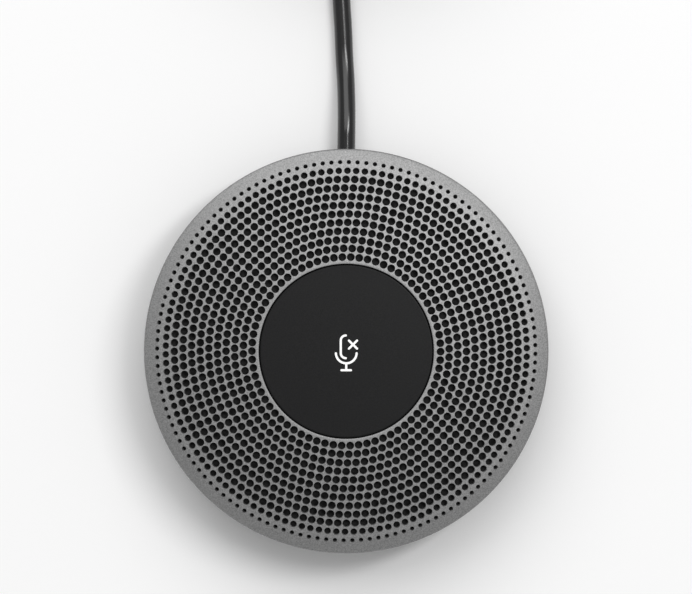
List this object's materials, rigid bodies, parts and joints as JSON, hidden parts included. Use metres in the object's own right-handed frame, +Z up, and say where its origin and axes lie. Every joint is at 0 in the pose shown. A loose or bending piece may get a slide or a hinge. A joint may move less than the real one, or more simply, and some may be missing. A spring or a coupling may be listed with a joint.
{
  "type": "conference speakerphone microphone pod",
  "caption": "Round wired table microphone pod for a conference speakerphone: perforated metal top, central mute button, rubber foot ring and a coiled lead with a round plug.",
  "frame": {"origin": "on the table under the middle of the pod", "axes": "+Z up; the lead leaves the rear at +Y; the front is at -Y; +X is to the right"},
  "size_m": [0.0953, 0.2141, 0.0234],
  "materials": {
    "grille_metal": "perforated sheet, fine matte metallic grey coat",
    "acoustic_cloth": "black woven polyester",
    "housing_abs": "black moulded ABS, fine spark texture",
    "foot_rubber": "matte black silicone rubber",
    "boot_rubber": "matte black rubber",
    "zinc_steel": "bright zinc plated steel",
    "soft_touch": "near-black soft-touch coat",
    "clear_acrylic": "clear acrylic",
    "chip_plastic": "moulded epoxy",
    "board_laminate": "green solder mask",
    "ivory_nylon": "natural nylon",
    "lead_pvc": "satin black PVC",
    "strap_fabric": "black hook-and-loop tape",
    "nickel_steel": "nickel plated steel",
    "gold_contact": "gold-flashed contacts",
    "led_lens": "LED lens"
  },
  "bodies": {
    "pod": {"grille_shell": "grille_metal", "acoustic_cloth": "acoustic_cloth", "inner_frame": "housing_abs", "base_housing": "housing_abs", "foot_ring": "foot_rubber", "ballast_plate": "zinc_steel", "main_board": "board_laminate", "mute_switch": "chip_plastic", "processor_chip": "chip_plastic", "codec_chip": "chip_plastic", "power_inductor": "chip_plastic", "board_header": "ivory_nylon", "lead_grommet": "lead_pvc", "inner_lead": "lead_pvc", "lead_in": "lead_pvc", "lead_tail": "lead_pvc", "lead_coil": "lead_pvc", "coil_strap": "strap_fabric", "plug_relief": "lead_pvc", "plug_grip": "lead_pvc", "plug_shell": "nickel_steel", "plug_insert": "housing_abs", "plug_contacts": "gold_contact", "base_screw_1": "zinc_steel", "led_1": "led_lens", "base_screw_2": "zinc_steel", "led_2": "led_lens", "base_screw_3": "zinc_steel", "led_3": "led_lens", "base_screw_4": "zinc_steel", "led_4": "led_lens", "board_screw_1": "zinc_steel", "board_screw_2": "zinc_steel", "board_screw_3": "zinc_steel", "microphone_boot_right": "boot_rubber", "microphone_right": "nickel_steel", "microphone_lead_right": "lead_pvc", "microphone_boot_rear": "boot_rubber", "microphone_rear": "nickel_steel", "microphone_lead_rear": "lead_pvc", "microphone_boot_left": "boot_rubber", "microphone_left": "nickel_steel", "microphone_lead_left": "lead_pvc", "microphone_boot_front": "boot_rubber", "microphone_front": "nickel_steel", "microphone_lead_front": "lead_pvc"},
    "button": {"button_cap": "soft_touch", "light_guide": "clear_acrylic", "switch_plunger": "chip_plastic"}
  },
  "joints": [
    {"name": "mute_press", "type": "slide", "parent": "pod", "child": "button", "axis": [0, 0, -1], "range_m": [0, 0.0005], "stiffness_N_per_m": 2000}
  ]
}
